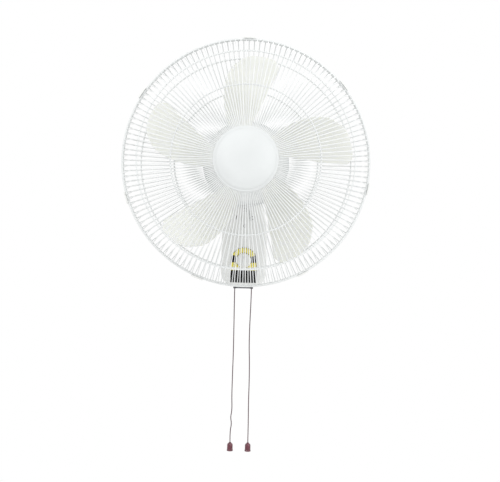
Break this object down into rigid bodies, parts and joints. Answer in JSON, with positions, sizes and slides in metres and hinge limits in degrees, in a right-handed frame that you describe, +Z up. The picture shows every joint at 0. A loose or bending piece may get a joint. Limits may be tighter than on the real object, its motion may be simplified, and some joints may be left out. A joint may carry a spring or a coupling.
{
  "type": "wall mounted fan",
  "caption": "Wall fan: wire guard and moulded blades on a swinging, tilting head; the base has a knob panel, a speed dial and pull cords.",
  "frame": {"origin": "centre of the wall bracket's back face, on the wall", "axes": "+Z up, +Y into the wall, the fan blows towards -Y, +X to the right seen from the front"},
  "size_m": [0.4999, 0.326, 0.8727],
  "materials": {
    "housing_plastic": "smooth moulded white ABS, light gloss",
    "blade_plastic": "translucent grey-white moulded AS, glossy",
    "guard_paint": "white powder coat on steel wire",
    "clip_plastic": "moulded white nylon",
    "cap_plastic": "polished white ABS",
    "panel_plastic": "black moulded ABS",
    "scale_yellow": "pale yellow print on plastic strip",
    "knob_plastic": "white moulded ABS",
    "dial_plastic": "pale grey moulded ABS",
    "guide_plastic": "dark grey moulded nylon",
    "cord_fabric": "twisted grey-brown cord",
    "bell_plastic": "dark red moulded plastic",
    "steel_sheet": "zinc plated steel sheet",
    "steel_bright": "bright turned or cold headed steel",
    "cast_alloy": "die-cast alloy, as cast",
    "lamination": "stacked electrical steel",
    "winding_copper": "enamelled copper wire",
    "switch_plastic": "dark moulded phenolic",
    "inner_plastic": "white moulded nylon",
    "inlet_rubber": "black moulded rubber"
  },
  "bodies": {
    "base": {"wall_bracket": "steel_sheet", "rear_cover": "housing_plastic", "front_cover": "housing_plastic", "cover_screws": "steel_bright", "support_arm": "housing_plastic", "arm_screws": "steel_bright", "control_panel": "panel_plastic", "scale_strips": "scale_yellow", "control_switch": "switch_plastic", "dial_detent": "inner_plastic", "cord_guide": "guide_plastic", "speed_switch": "switch_plastic", "swing_switch": "switch_plastic", "run_capacitor": "switch_plastic", "terminal_block": "inner_plastic", "mains_inlet": "inlet_rubber", "tilt_bolt": "steel_bright", "tilt_nut": "steel_bright", "tilt_washers": "inner_plastic"},
    "neck": {"neck": "cast_alloy"},
    "head": {"pivot_bracket": "cast_alloy", "pivot_pin": "steel_bright", "thrust_washer": "inner_plastic", "swing_motor": "steel_sheet", "motor_front_cover": "housing_plastic", "motor_rear_cover": "housing_plastic", "front_shield": "cast_alloy", "rear_shield": "cast_alloy", "stator": "lamination", "stator_spacers": "steel_bright", "windings": "winding_copper", "front_bearing": "steel_bright", "rear_bearing": "steel_bright", "motor_bolts": "steel_bright", "guard_nut": "clip_plastic", "rear_guard_plate": "guard_paint", "rear_guard_wires": "guard_paint", "rear_guard_rings": "guard_paint", "rear_rim": "guard_paint", "front_guard_wires": "guard_paint", "front_guard_rings": "guard_paint", "front_rim": "guard_paint", "guard_clips": "clip_plastic", "guard_cap": "cap_plastic", "cap_plate": "cap_plastic", "cap_screws": "steel_bright"},
    "rotor": {"shaft": "steel_bright", "rotor_core": "lamination", "fan_blades": "blade_plastic", "spinner": "clip_plastic", "drive_pin": "steel_bright"},
    "knob": {"control_knob": "knob_plastic"},
    "dial": {"speed_dial": "dial_plastic"},
    "speed_line": {"speed_cord": "cord_fabric", "speed_pull": "bell_plastic"},
    "swing_line": {"swing_cord": "cord_fabric", "swing_pull": "bell_plastic"},
    "crank": {"swing_crank": "inner_plastic"},
    "link": {"swing_link": "steel_sheet"}
  },
  "joints": [
    {"name": "tilt", "type": "hinge", "parent": "base", "child": "neck", "pos_m": [0, -0.11, 0.086], "axis": [1, 0, 0], "range_deg": [-10, 20]},
    {"name": "swing", "type": "hinge", "parent": "neck", "child": "head", "pos_m": [0, -0.11, 0.12], "axis": [0, 0, 1], "range_deg": [-42, 42]},
    {"name": "blade_spin", "type": "hinge", "parent": "head", "child": "rotor", "pos_m": [0, -0.245, 0.157], "axis": [0, -1, 0], "continuous": true},
    {"name": "knob_turn", "type": "hinge", "parent": "base", "child": "knob", "pos_m": [0, -0.09, -0.0428], "axis": [0, -1, 0], "range_deg": [-270, 0]},
    {"name": "dial_turn", "type": "hinge", "parent": "base", "child": "dial", "pos_m": [0, -0.08, 0.05], "axis": [0, -1, 0], "continuous": true},
    {"name": "speed_pull_slide", "type": "slide", "parent": "base", "child": "speed_line", "axis": [0, 0, -1], "range_m": [0, 0.012], "stiffness_N_per_m": 400, "springref_m": -0.003},
    {"name": "swing_pull_slide", "type": "slide", "parent": "base", "child": "swing_line", "axis": [0, 0, -1], "range_m": [0, 0.012], "stiffness_N_per_m": 400, "springref_m": -0.003},
    {"name": "crank_turn", "type": "hinge", "parent": "head", "child": "crank", "pos_m": [0.005, -0.08, 0.129], "axis": [0, 0, 1], "range_deg": [-64, 64]},
    {"name": "link_turn", "type": "hinge", "parent": "crank", "child": "link", "pos_m": [0.0196, -0.08, 0.126], "axis": [0, 0, 1], "range_deg": [-64, 64]}
  ],
  "couplings": [
    {"joint": "crank_turn", "follows": "swing", "ratio": -1.5},
    {"joint": "link_turn", "follows": "swing", "ratio": 1.5}
  ]
}
